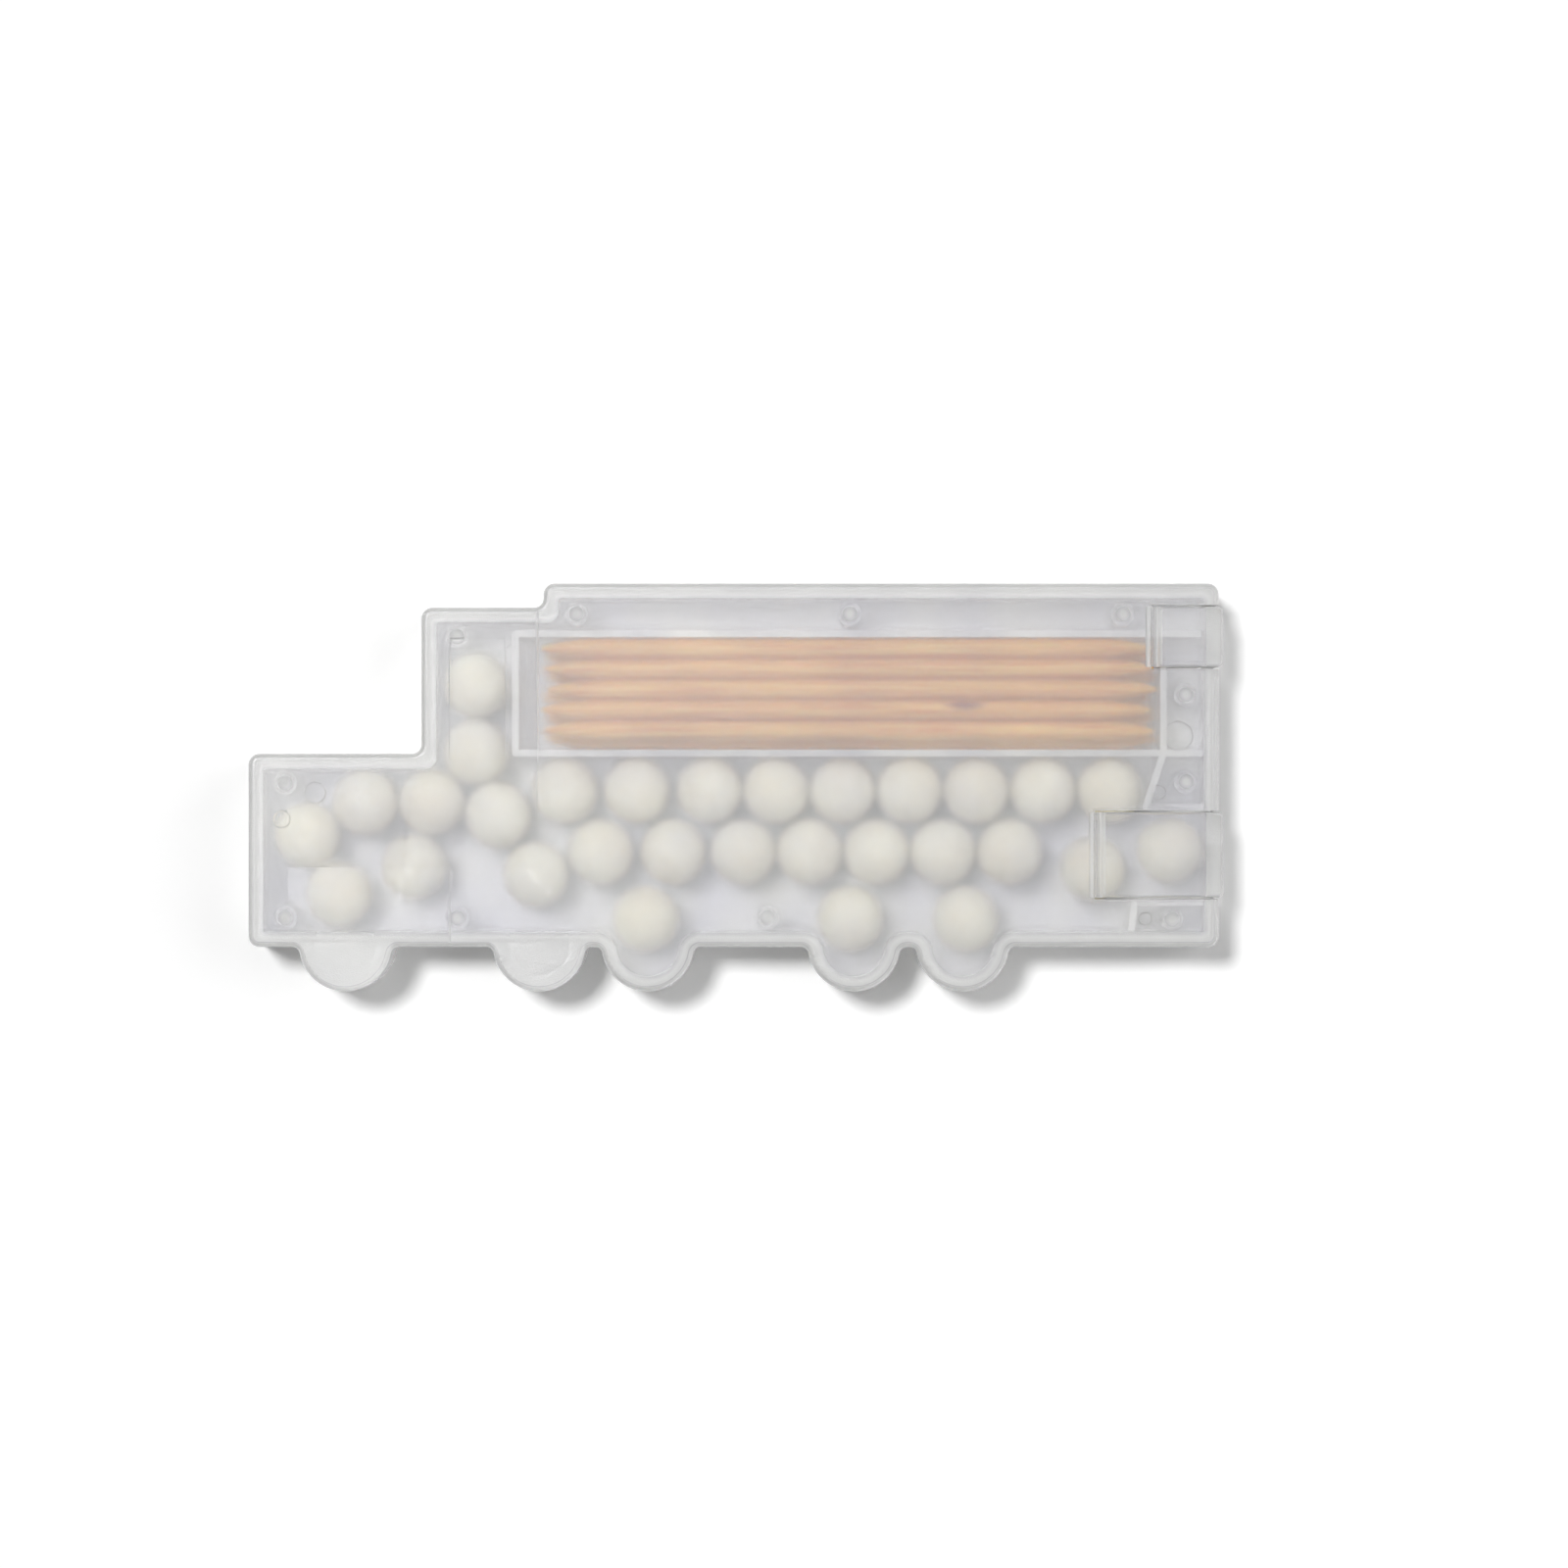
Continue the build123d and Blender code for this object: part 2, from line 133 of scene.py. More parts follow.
# Lines moulded into the front face, which draw the truck's bonnet, door, window and trailer front
BELT_Y = -8.5 * MM
NOSE_LINE_X = -47.6 * MM
DOOR_X = -30.4 * MM
WINDOW_BACK_X = -24.5 * MM
WINDOW_TOP_Y = 15.8 * MM
WINDOW_LOW_Y = 3.0 * MM
TRAILER_X = -21.1 * MM
TRAILER_TOP_Y = 19.2 * MM
BELT_BREAK_X = -25.3 * MM
DOOR_LOW_Y = -16.4 * MM
NOSE_LINE_LOW_Y = -13.0 * MM
FACE_LINES = (
    ((NOSE_LINE_X, BELT_Y), (DOOR_X, BELT_Y)),
    ((BELT_BREAK_X, BELT_Y), (TRAILER_X, BELT_Y)),
    ((NOSE_LINE_X, BELT_Y), (NOSE_LINE_X, NOSE_LINE_LOW_Y)),
    ((DOOR_X, BELT_Y), (DOOR_X, DOOR_LOW_Y)),
    ((TRAILER_X, BELT_Y), (TRAILER_X, TRAILER_TOP_Y)),
    ((DOOR_X, WINDOW_LOW_Y), (WINDOW_BACK_X, WINDOW_LOW_Y)),
    ((DOOR_X, WINDOW_TOP_Y), (WINDOW_BACK_X, WINDOW_TOP_Y)),
    ((DOOR_X, WINDOW_LOW_Y), (DOOR_X, WINDOW_TOP_Y)),
    ((WINDOW_BACK_X, WINDOW_LOW_Y), (WINDOW_BACK_X, WINDOW_TOP_Y)),
)

# Wheel rims drawn on the front face
AXLE_Y = -16.78 * MM
AXLES_X = (-41.54 * MM, -20.92 * MM, -9.36 * MM, 12.58 * MM, 24.14 * MM)

# Ejector pin marks on the inside of the front skin: place and radius
EJECTOR_MARKS = (
    (47.1 * MM, 5.5 * MM, 1.5 * MM),
    (45.0 * MM, -0.5 * MM, 0.75 * MM),
    (43.6 * MM, -14.0 * MM, 0.65 * MM),
    (-48.3 * MM, -3.4 * MM, 0.9 * MM),
    (-44.8 * MM, -0.6 * MM, 1.1 * MM),
)


def linear(hex_colour):
    """Linear RGBA of an sRGB hex colour."""
    channels = [int(hex_colour[place : place + 2], 16) / 255 for place in (1, 3, 5)]
    return [c / 12.92 if c <= 0.04045 else ((c + 0.055) / 1.055) ** 2.4 for c in channels] + [1.0]


def colour_property(name, description, hex_colour):
    """A colour setting with an sRGB hex default."""
    return FloatVectorProperty(
        name=name,
        description=description,
        subtype="COLOR",
        size=4,
        min=0.0,
        max=1.0,
        default=linear(hex_colour),
    )


def length_property(name, description, millimetres):
    """A length setting with its default in millimetres."""
    return FloatProperty(name=name, description=description, unit="LENGTH", min=0.0, default=millimetres * MM)


def share_property(name, description, share):
    """A setting between 0 and 1."""
    return FloatProperty(
        name=name,
        description=description,
        subtype="FACTOR",
        min=0.0,
        max=1.0,
        default=share,
    )


def strength_property(name, description, strength):
    """A setting for how strong a light is."""
    return FloatProperty(name=name, description=description, min=0.0, default=strength)


def angle_property(name, description, degrees):
    """An angle setting with its default in degrees."""
    return FloatProperty(name=name, description=description, subtype="ANGLE", default=math.radians(degrees))


class CaseSettings(bpy.types.PropertyGroup):
    """Frosted mouldings: shells, lids and hinge webs."""

    clear_tint: colour_property("Clear tint", "Thin skin where the melt flowed clear", "#dfdfe3")
    cloud_tint: colour_property("Cloud tint", "Thin skin where it set cloudy", "#e7e7e6")
    wall_tint: colour_property("Wall tint", "Sides of walls and ribs", "#f9f9f8")
    bulk_tint: colour_property("Bulk tint", "Broad tops of walls and solid places", "#dbdbda")
    skin_clearness: share_property("Skin clearness", "Share of a thin skin that is clear, not milky", 0.85)
    wall_clearness: share_property("Wall clearness", "Share of a wall's side that is clear, not milky", 0.5)
    snug_clearness: share_property("Snug clearness", "The same for a wall snug round a peg or a lid", 0.35)
    bulk_clearness: share_property("Bulk clearness", "Share of a solid place that is clear, not milky", 0.5)
    skin_shade: share_property("Skin shade", "Share of the light that each face of a skin holds back", 0.5)
    skin_glow: share_property("Skin glow", "Share of that light that still spreads inside the case", 0.5)
    wall_shade: share_property("Wall shade", "Share of the light that each face of a wall holds back", 0.95)
    wall_glow: share_property("Wall glow", "Share of that light that still spreads inside the case", 0.58)
    snug_shade: share_property("Snug shade", "Share of the light that each snug face holds back", 0.2)
    satin: share_property("Satin", "Roughness of the frosted skin", 0.262)
    flow_size: length_property("Flow marks", "Width of the cloudy flow marks", 9.0)
    grit_size: length_property("Grit", "Pitch of the eroded tool's grit, as drawn", 0.12)
    grit_depth: length_property("Grit depth", "Depth of the eroded tool's grit, as drawn", 0.028)
    line_width: length_property("Line width", "Width of the lines moulded into the face", 0.3)
    line_depth: length_property("Line depth", "Depth of the lines moulded into the face", 0.05)
    rim_depth: length_property("Rim depth", "Depth of the wheel rims drawn on the face", 0.02)
    rim_radius: length_property("Rim radius", "Radius of the wheel rims drawn on the face", 3.2)
    deep_edge: length_property("Deep edge", "Width over which a skin turns milky towards a wall", 0.9)
    mark_width: length_property("Pin mark width", "Width of an ejector pin's mark", 0.2)
    mark_depth: length_property("Pin mark depth", "Depth of an ejector pin's mark", 0.06)
    web_waist: length_property("Web waist", "How far the underside of a hinge web is hollowed", 0.08)


class MintSettings(bpy.types.PropertyGroup):
    """Pressed sugar mints."""

    chalk: colour_property("Chalk", "Main colour of a mint", "#f0ede0")
    cream: colour_property("Cream", "Warmer patches of a mint", "#eae3d0")
    patch_size: length_property("Patches", "Width of the warmer patches", 6.0)
    lump_depth: length_property("Lumps", "How far a mint is out of round", 0.04)
    pit_depth: length_property("Pits", "Depth of the pits in a mint's skin", 0.035)
    pit_size: length_property("Pit size", "Spacing of the pits in a mint's skin", 0.6)
    grain_size: length_property("Grain", "Size of the sugar grain", 0.25)
    grain_depth: length_property("Grain depth", "Depth of the sugar grain", 0.03)
    sink_in: length_property("Sink-in", "How far light sinks into the sugar", 2.0)


class ToothpickSettings(bpy.types.PropertyGroup):
    """Turned birch toothpicks."""

    sapwood: colour_property("Sapwood", "Pale wood between the streaks", "#e6b863")
    streak: colour_property("Streak", "Darker streaks of the grain", "#cf8430")
    knot: colour_property("Knot", "Heart of the knot", "#7d2f12")
    # Painted bounce light: a warm orange painted into the wood where another pick lies within reach, standing
    # in for light passed from pick to pick
    gap: colour_property("Gap", "Wood between close picks, lit by its neighbours", "#f3a845")
    painted_bounce_reach: length_property("Gap reach", "How close the next pick has to be for that", 0.8)
    knot_size: FloatVectorProperty(
        name="Knot size",
        description="Half length, width and height of the knot",
        size=3,
        subtype="XYZ",
        unit="LENGTH",
        default=(3.2 * MM, 1.0 * MM, 1.5 * MM),
    )
    grain_width: length_property("Grain width", "Width of a streak", 0.3)
    grain_length: length_property("Grain length", "Length of a streak", 14.0)
    grain_depth: length_property("Grain depth", "Depth of the grain", 0.03)
    waver: length_property("Waver", "How far the turned surface wavers", 0.04)
    bow: length_property("Bow", "How far a toothpick is out of straight", 0.03)
    sink_in: length_property("Sink-in", "How far light sinks into the wood", 1.0)


class StageSettings(bpy.types.PropertyGroup):
    """Floor, light and camera."""

    floor: colour_property("Floor", "Colour of the white paper floor", "#fafafa")
    glow: strength_property("Glow", "How far the paper is lifted to a clean white for the eye", 0.105)
    fill: strength_property("Fill", "Strength of the white surround", 0.08)
    key: strength_property("Key", "Strength of the soft lamp at the upper left", 2.34)
    key_size: angle_property("Key size", "Angle that the key lamp covers", 12)
    side: strength_property("Side", "Strength of the weak lamp at the right", 1.0)
    side_size: angle_property("Side size", "Angle that the side lamp covers", 50)
    lens: FloatProperty(name="Lens", description="Focal length in millimetres", min=1.0, default=135.0)
    picture_width: length_property("Picture width", "Width of the picture at the front face", 166.7)
    picture_centre: FloatVectorProperty(
        name="Picture centre",
        description="Point of the face in the middle of the picture",
        size=2,
        subtype="XYZ",
        unit="LENGTH",
        default=(5.14 * MM, 0.36 * MM),
    )


class DispenserSettings(bpy.types.PropertyGroup):
    """All settings of the dispenser."""

    case: PointerProperty(type=CaseSettings)
    mints: PointerProperty(type=MintSettings)
    toothpicks: PointerProperty(type=ToothpickSettings)
    stage: PointerProperty(type=StageSettings)


def add_node(tree, kind, values=None, links=None, stops=None, **options):
    """Adds a node with its options, input values, links from other sockets and, on a ramp, colour stops."""
    node = tree.nodes.new(kind)
    for name, option in options.items():
        setattr(node, name, option)
    for socket, value in (values or {}).items():
        node.inputs[socket].default_value = value
    for socket, source in (links or {}).items():
        tree.links.new(source, node.inputs[socket])
    for number, (position, colour) in enumerate(stops or []):
        stop = node.color_ramp.elements[number] if number < 2 else node.color_ramp.elements.new(position)
        stop.position = position
        stop.color = colour
    return node


def new_material(name):
    """An empty node material and its tree."""
    material = bpy.data.materials.new(name)
    material.use_nodes = True
    material.node_tree.nodes.clear()
    return material, material.node_tree


def finish_material(tree, shader):
    """Ends a tree in its output."""
    add_node(tree, "ShaderNodeOutputMaterial", links={"Surface": shader.outputs[0]})


def frosted_polypropylene(look, name, tints, clearness, shade, glow=0.0, has_solid_places=False):
    """Polypropylene, injection moulded in a spark-eroded tool.

    The satin skin blurs what lies behind it, more so the deeper it lies. Thin skins lean to lavender, in soft
    clouds where the melt flowed, and solid places turn to a milky grey. Light passes on its way to the goods
    and the floor, and spreads inside the case, so that walls don't look dark from the front.
    """
    material, tree = new_material(name)
    place = add_node(tree, "ShaderNodeTexCoord").outputs["Object"]
    flow = add_node(
        tree, "ShaderNodeTexNoise", {"Scale": 1 / look.flow_size, "Detail": 2.0}, {"Vector": place}
    ).outputs["Fac"]
    tint = add_node(
        tree, "ShaderNodeValToRGB", links={"Fac": flow}, stops=[(0.35, tints[0]), (0.7, tints[1])]
    )
    satin = add_node(
        tree, "ShaderNodeMapRange", {"To Min": look.satin * 0.96, "To Max": look.satin * 1.04},
        {"Value": flow},
    )
    # The real grit is too fine to show, so it is drawn about twice as coarse and several times as deep
    grit = add_node(
        tree, "ShaderNodeTexNoise", {"Scale": 1 / look.grit_size, "Detail": 1.0}, {"Vector": place}
    )
    relief = add_node(tree, "ShaderNodeBump", {"Distance": look.grit_depth}, {"Height": grit.outputs["Fac"]})
    path = add_node(tree, "ShaderNodeLightPath")
    lighting = add_node(
        tree, "ShaderNodeMath",
        links={0: path.outputs["Is Shadow Ray"], 1: path.outputs["Is Diffuse Ray"]},
        operation="MAXIMUM",
    )
    solid = add_node(
        tree, "ShaderNodeMapRange", {"To Min": 1.0, "To Max": shade}, {"Value": lighting.outputs["Value"]}
    )
    if glow:
        held = add_node(
            tree, "ShaderNodeMapRange", {"To Min": shade, "To Max": shade * (1 - glow)},
            {"Value": path.outputs["Transmission Depth"]},
        )
        tree.links.new(held.outputs["Result"], solid.inputs["To Max"])
    shader = add_node(
        tree, "ShaderNodeBsdfPrincipled", {"IOR": 1.49, "Transmission Weight": clearness},
        {
            "Base Color": tint.outputs["Color"],
            "Roughness": satin.outputs["Result"],
            "Normal": relief.outputs["Normal"],
            "Alpha": solid.outputs["Result"],
        },
    )
    if has_solid_places:
        deep = add_node(tree, "ShaderNodeAttribute", attribute_name="deep").outputs["Fac"]
        colour = add_node(
            tree, "ShaderNodeMix", {"B": look.bulk_tint}, {"Factor": deep, "A": tint.outputs["Color"]},
            data_type="RGBA",
        )
        clear = add_node(
            tree, "ShaderNodeMapRange", {"To Min": clearness, "To Max": look.bulk_clearness}, {"Value": deep}
        )
        tree.links.new(colour.outputs["Result"], shader.inputs["Base Color"])
        tree.links.new(clear.outputs["Result"], shader.inputs["Transmission Weight"])
    finish_material(tree, shader)
    return material


def pressed_sugar(look):
    """Sugar, pressed into balls and tumbled.

    A dry, chalky white with cream patches, no gloss, and a fine grain that only shows close by. Light sinks
    in a little, so the shaded side stays pale.
    """
    material, tree = new_material("sugar_pressed")
    place = add_node(tree, "ShaderNodeTexCoord").outputs["Object"]
    patch = add_node(
        tree, "ShaderNodeTexNoise", {"Scale": 1 / look.patch_size, "Detail": 3.0}, {"Vector": place}
    )
    colour = add_node(
        tree, "ShaderNodeValToRGB", links={"Fac": patch.outputs["Fac"]},
        stops=[(0.35, look.chalk), (0.75, look.cream)],
    )
    grain = add_node(
        tree, "ShaderNodeTexNoise", {"Scale": 1 / look.grain_size, "Detail": 2.0}, {"Vector": place}
    )
    relief = add_node(
        tree, "ShaderNodeBump", {"Strength": 0.4, "Distance": look.grain_depth},
        {"Height": grain.outputs["Fac"]},
    )
    shader = add_node(
        tree, "ShaderNodeBsdfPrincipled",
        {
            "Roughness": 0.9,
            "IOR": 1.5,
            "Subsurface Weight": 0.9,
            "Subsurface Radius": (1.0, 0.95, 0.85),
            "Subsurface Scale": look.sink_in,
        },
        {"Base Color": colour.outputs["Color"], "Normal": relief.outputs["Normal"]},
    )
    finish_material(tree, shader)
    return material


def turned_birch(look, knot=None):
    """Birch, split and turned to round picks.

    Pale and dry, with long thin streaks along the pick. Light sinks in a little, and where another pick lies
    close a warm orange is painted into the wood as bounce light, so the gaps between them look warm. A knot,
    where given, is a red-brown fleck.
    """
    material, tree = new_material("birch_turned_knotted" if knot else "birch_turned")
    place = add_node(tree, "ShaderNodeTexCoord").outputs["Object"]
    stretch = (1 / look.grain_length, 1 / look.grain_width, 1 / look.grain_width)
    along = add_node(tree, "ShaderNodeMapping", {"Scale": stretch}, {"Vector": place})
    grain = add_node(
        tree, "ShaderNodeTexNoise", {"Scale": 1.0, "Detail": 4.0}, {"Vector": along.outputs["Vector"]}
    ).outputs["Fac"]
    colour = add_node(
        tree, "ShaderNodeValToRGB", links={"Fac": grain}, stops=[(0.38, look.sapwood), (0.72, look.streak)]
    ).outputs["Color"]
    if knot:
        reach = [1 / size for size in look.knot_size]
        from_knot = [-centre * scale for centre, scale in zip(knot, reach)]
        nearby = add_node(
            tree, "ShaderNodeMapping", {"Location": from_knot, "Scale": reach}, {"Vector": place}
        )
        fleck = add_node(
            tree, "ShaderNodeTexGradient", links={"Vector": nearby.outputs["Vector"]},
            gradient_type="SPHERICAL",
        )
        swirl = add_node(
            tree, "ShaderNodeMath", links={0: fleck.outputs["Fac"], 1: grain}, operation="MULTIPLY"
        )
        heart = add_node(
            tree, "ShaderNodeMapRange", {"From Min": 0.05, "From Max": 0.35},
            {"Value": swirl.outputs["Value"]},
        )
        colour = add_node(
            tree, "ShaderNodeMix", {"B": look.knot}, {"Factor": heart.outputs["Result"], "A": colour},
            data_type="RGBA",
        ).outputs["Result"]
    # Painted bounce light: ambient occlusion finds where another pick lies close, and there the colour is
    # pulled towards a warm orange that stands in for light passed between the picks
    open_space = add_node(tree, "ShaderNodeAmbientOcclusion", {"Distance": look.painted_bounce_reach}, samples=8)
    painted_bounce_share = add_node(
        tree, "ShaderNodeMapRange", {"From Min": 1.0, "From Max": 0.4, "To Max": 0.9},
        {"Value": open_space.outputs["AO"]},
    )
    colour = add_node(
        tree, "ShaderNodeMix", {"B": look.gap}, {"Factor": painted_bounce_share.outputs["Result"], "A": colour},
        data_type="RGBA",
    ).outputs["Result"]
    relief = add_node(
        tree, "ShaderNodeBump", {"Strength": 0.3, "Distance": look.grain_depth}, {"Height": grain}
    )
    shader = add_node(
        tree, "ShaderNodeBsdfPrincipled",
        {
            "Roughness": 0.7,
            "IOR": 1.5,
            "Subsurface Weight": 0.8,
            "Subsurface Radius": (1.5, 0.7, 0.25),
            "Subsurface Scale": look.sink_in,
        },
        {"Base Color": colour, "Normal": relief.outputs["Normal"]},
    )
    finish_material(tree, shader)
    return material


def white_paper(look):
    """Matt white paper: a clean white to the eye, which keeps the soft shadow of the case."""
    material, tree = new_material("paper_white")
    path = add_node(tree, "ShaderNodeLightPath")
    mirrored = add_node(
        tree, "ShaderNodeMath",
        links={0: path.outputs["Is Glossy Ray"], 1: path.outputs["Is Transmission Ray"]},
        operation="MAXIMUM",
    )
    seen = add_node(
        tree, "ShaderNodeMath",
        links={0: path.outputs["Is Camera Ray"], 1: mirrored.outputs["Value"]},
        operation="MAXIMUM",
    )
    paper = add_node(tree, "ShaderNodeBsdfDiffuse", {"Color": look.floor}).outputs["BSDF"]
    glow = add_node(tree, "ShaderNodeEmission", {"Strength": look.glow}).outputs["Emission"]
    lifted = add_node(tree, "ShaderNodeAddShader", links={0: paper, 1: glow}).outputs["Shader"]
    mixed = add_node(tree, "ShaderNodeMixShader", links={0: seen.outputs["Value"], 1: paper, 2: lifted})
    finish_material(tree, mixed)
    return material


def add_object(name, shape):
    """Turns a bmesh into a smooth-shaded object of the scene."""
    mesh = bpy.data.meshes.new(name)
    shape.to_mesh(mesh)
    shape.free()
    mesh.shade_smooth()
    piece = bpy.data.objects.new(name, mesh)
    bpy.context.scene.collection.objects.link(piece)
    return piece


def dress(piece, material):
    """Gives a piece one material."""
    piece.data.materials.clear()
    piece.data.materials.append(material)


def add_cutter(shape, points, closed, width, depth, face_z, into):
    """Adds a V-shaped cutter along points on a flat face. It cuts down where into is -1, and up where 1."""
    clear_of_face = depth / 2
    half = width / 2 * (1 + clear_of_face / depth)
    corners = ((-half, -into * clear_of_face), (half, -into * clear_of_face), (0.0, into * depth))
    last = len(points) - 1
    sections = []
    for number, point in enumerate(points):
        behind = points[number - 1] if closed or number else point
        ahead = points[0 if number == last else number + 1] if closed or number < last else point
        along = (ahead - behind).normalized()
        across = Vector((-along.y, along.x))
        places = [(point + across * aside, face_z + rise) for aside, rise in corners]
        sections.append([shape.verts.new((spot.x, spot.y, z)) for spot, z in places])
    for near, far in zip(sections, sections[1:] + sections[:1] if closed else sections[1:]):
        for corner in range(3):
            following = (corner + 1) % 3
            shape.faces.new((near[corner], near[following], far[following], far[corner]))
    if not closed:
        shape.faces.new(sections[0])
        shape.faces.new(sections[-1])


def circle(x, y, radius, steps=72):
    """Points round a circle."""
    turns = [2 * math.pi * step / steps for step in range(steps)]
    return [Vector((x + radius * math.cos(turn), y + radius * math.sin(turn))) for turn in turns]


def welded_shape(node):
    """A bmesh with a CAD node's form, its corners joined again so that it can be cut and followed."""
    shape = bmesh.new()
    shape.from_mesh(frame["nodes"][node].data)
    bmesh.ops.remove_doubles(shape, verts=shape.verts, dist=1e-4 * MM)
    return shape


def welded_copy(node, name):
    """A new object with a CAD node's form."""
    piece = add_object(name, welded_shape(node))
    normals = piece.data.attributes.get("custom_normal")
    if normals:
        piece.data.attributes.remove(normals)
    return piece


def inner_outlines():
    """Closed outlines, as points, of the inside of the cover's front skin: its hollows and its pegs."""
    near = 0.05 * MM
    shape = welded_shape("front_cover")
    ceiling = {
        face for face in shape.faces
        if face.normal.z < -0.99 and abs(face.calc_center_median().z - INNER_Z) < near
    }
    border = [edge for edge in shape.edges if len(ceiling.intersection(edge.link_faces)) == 1]
    beside = {}
    for edge in border:
        for vertex in edge.verts:
            beside.setdefault(vertex, []).append(edge.other_vert(vertex))
    outlines = []
    while beside:
        vertex = next(iter(beside))
        outline = []
        while vertex:
            outline.append(vertex.co.xy)
            vertex = next((other for other in beside.pop(vertex) if other in beside), None)
        outlines.append(outline)
    shape.free()
    return outlines


def peg_places():
    """Middles of the cover's pegs: the outlines that are smaller than a socket."""
    places = []
    for outline in inner_outlines():
        middle = sum(outline, Vector((0.0, 0.0))) / len(outline)
        if all((point - middle).length < SOCKET_RADIUS for point in outline):
            places.append(middle)
    return places


def face_cutters(look):
    """Cutters for the lines on the outside of the front skin and the pin marks on its inside.

    The outlines get a dip far too shallow to see, so that the skin has points along them to turn milky at.
    """
    shape = bmesh.new()
    for outline in inner_outlines():
        add_cutter(shape, outline, True, look.deep_edge, DIP_DEPTH, FRONT_Z, -1)
    for start, end in FACE_LINES:
        start, end = Vector(start), Vector(end)
        overlap = (end - start).normalized() * look.line_width / 2
        ends = [start - overlap, end + overlap]
        add_cutter(shape, ends, False, look.line_width, look.line_depth, FRONT_Z, -1)
    for x in AXLES_X:
        rim = circle(x, AXLE_Y, look.rim_radius)
        add_cutter(shape, rim, True, look.line_width, look.rim_depth, FRONT_Z, -1)
    for x, y, radius in EJECTOR_MARKS:
        add_cutter(shape, circle(x, y, radius), True, look.mark_width, look.mark_depth, INNER_Z, 1)
    bmesh.ops.recalc_face_normals(shape, faces=shape.faces)
    return add_object("face_cutters", shape)


def split_across(piece, stations):
    """Splits a piece's faces along level lines across it, at these places of X."""
    shape = bmesh.new()
    shape.from_mesh(piece.data)
    for x in stations:
        parts = shape.verts[:] + shape.edges[:] + shape.faces[:]
        bmesh.ops.bisect_plane(shape, geom=parts, plane_co=(x, 0.0, 0.0), plane_no=(1.0, 0.0, 0.0))
    shape.to_mesh(piece.data)
    shape.free()


def apply_modifiers(piece):
    """Replaces a piece's mesh by what its modifiers make of it."""
    shown = piece.evaluated_get(bpy.context.evaluated_depsgraph_get())
    mesh = bpy.data.meshes.new_from_object(shown)
    mesh.name = piece.name
    piece.modifiers.clear()
    piece.data = mesh


def even_shading(piece):
    """Shades a moulding smooth over its roundings and flat on its flats."""
    piece.data.shade_smooth()
    piece.data.set_sharp_from_angle(angle=math.radians(25))
    weigh = piece.modifiers.new("even_shading", "WEIGHTED_NORMAL")
    weigh.keep_sharp = True
    apply_modifiers(piece)


def mark_deep(piece, depth):
    """Marks level faces that stand proud or have solid plastic this deep under them. In a dip it fades."""
    mesh = piece.data
    marks = mesh.attributes.new("deep", "FLOAT", "CORNER")
    bpy.context.view_layer.update()
    down = Vector((0.0, 0.0, -1.0))
    for face in mesh.polygons:
        if face.normal.z < LEVEL or face.center.z < MIDDLE_Z:
            continue
        proud = face.center.z > FRONT_Z + DIP_DEPTH
        found = []
        for corner in face.loop_indices:
            point = mesh.vertices[mesh.loops[corner].vertex_index].co
            inward = point.lerp(face.center, 0.02) + down * 0.01 * MM
            hit, place, _, _ = piece.ray_cast(inward, down)
            in_dip = DIP_DEPTH / 2 < FRONT_Z - point.z < 2 * DIP_DEPTH
            found.append(0.5 if in_dip else float(proud or (hit and inward.z - place.z > depth)))
        if 0.5 not in found:
            found = [min(found)] * len(found)
        for corner, value in zip(face.loop_indices, found):
            marks.data[corner].value = value


def is_snug(spot, pegs):
    """Whether a wall at this spot fits closely round a peg or a lid."""
    if any(math.dist(spot.xy, peg) < SOCKET_RADIUS + SNUG_ROOM for peg in pegs):
        return True
    return spot.x < TAIL_X and any(
        low.x - SNUG_ROOM < spot.x and low.y - SNUG_ROOM < spot.y < high.y + SNUG_ROOM
        for low, high in LID_BOXES
    )


def mould(piece, look):
    """Gives a moulding clearer plastic on its thin skins, and milkier on walls and where these fit snugly."""
    skin, wall = (look.clear_tint, look.cloud_tint), (look.cloud_tint, look.wall_tint)
    finishes = {
        "polypropylene_skin": (skin, look.skin_clearness, look.skin_shade, look.skin_glow, True),
        "polypropylene_wall": (wall, look.wall_clearness, look.wall_shade, look.wall_glow),
        "polypropylene_snug": (wall, look.snug_clearness, look.snug_shade),
    }
    piece.data.materials.clear()
    for name, finish in finishes.items():
        found = bpy.data.materials.get(name)
        piece.data.materials.append(found or frosted_polypropylene(look, name, *finish))
    in_skin, in_wall, in_snug = range(3)
    pegs = peg_places()
    for face in piece.data.polygons:
        snug = is_snug(face.center, pegs)
        rib_top = face.normal.z > 0 and MIDDLE_Z < face.center.z < INNER_Z
        if abs(face.normal.z) < LEVEL:
            face.material_index = in_snug if snug else in_wall
        else:
            face.material_index = in_wall if rib_top and not snug else in_skin


def place_moulding(piece, node, body, look):
    """Finishes a moulding that stands for a CAD node, on its body."""
    mould(piece, look)
    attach(piece, body)
    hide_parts(node)


def web_shape(low, high, waist):
    """Mesh of a hinge web in its CAD box: level on top, hollowed below, with enough rows to bend."""
    middle, size = (low + high) / 2, high - low
    shape = bmesh.new()
    place = Matrix.Translation(middle) @ Matrix.Diagonal((*size, 1.0))
    bmesh.ops.create_cube(shape, size=1.0, matrix=place)
    across = [e for e in shape.edges if abs(e.verts[0].co.x - e.verts[1].co.x) > size.x / 2]
    bmesh.ops.subdivide_edges(shape, edges=across, cuts=15, use_grid_fill=True)
    for vertex in shape.verts:
        if vertex.co.z < middle.z:
            share = 2 * (vertex.co.x - middle.x) / size.x
            vertex.co.z += waist * (1 - share * share)
    return shape


